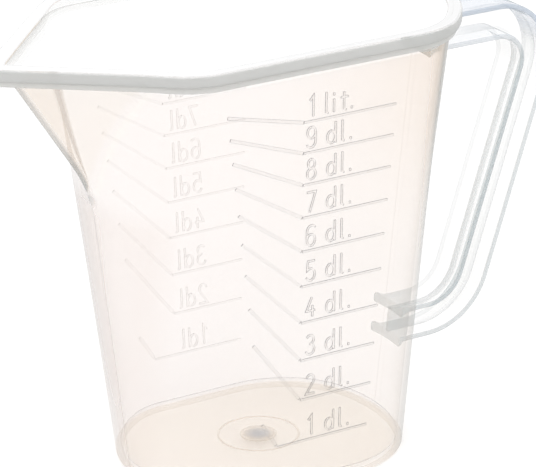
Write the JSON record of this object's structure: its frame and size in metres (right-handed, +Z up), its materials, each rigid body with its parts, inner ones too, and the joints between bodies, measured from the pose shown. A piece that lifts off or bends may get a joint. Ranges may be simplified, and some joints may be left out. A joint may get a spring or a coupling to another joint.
{
  "type": "measuring jug",
  "caption": "Clear plastic one-litre measuring jug with a V-shaped spout, greyer stepped rim, I-section handle and raised decilitre marks on both long faces",
  "frame": {"origin": "centre of the base, on the table", "axes": "+X towards the handle, -X towards the pouring tip, -Y towards the near scale face, +Z up"},
  "size_m": [0.2055, 0.1026, 0.152],
  "materials": {
    "clear_plastic": "clear, faintly warm moulded plastic with a soft gloss",
    "rim_plastic": "the same plastic seen through the rim's depth, light grey",
    "handle_plastic": "clear with grey edges and a soft gloss",
    "raised_marks": "raised plain marks that read light grey"
  },
  "bodies": {
    "root": {"cup_wall": "clear_plastic", "floor_panel": "clear_plastic", "foot_ring": "clear_plastic", "gate_boss": "clear_plastic", "gate_ring": "clear_plastic", "pouring_spout": "clear_plastic", "rim_flange": "rim_plastic", "rim_shoulder": "rim_plastic", "handle_outer_strap": "handle_plastic", "handle_inner_strap": "handle_plastic", "handle_web": "handle_plastic", "front_level_lines": "raised_marks", "front_pour_lines": "raised_marks", "front_numerals": "raised_marks", "back_level_lines": "raised_marks", "back_pour_lines": "raised_marks", "back_numerals": "raised_marks"}
  },
  "joints": []
}
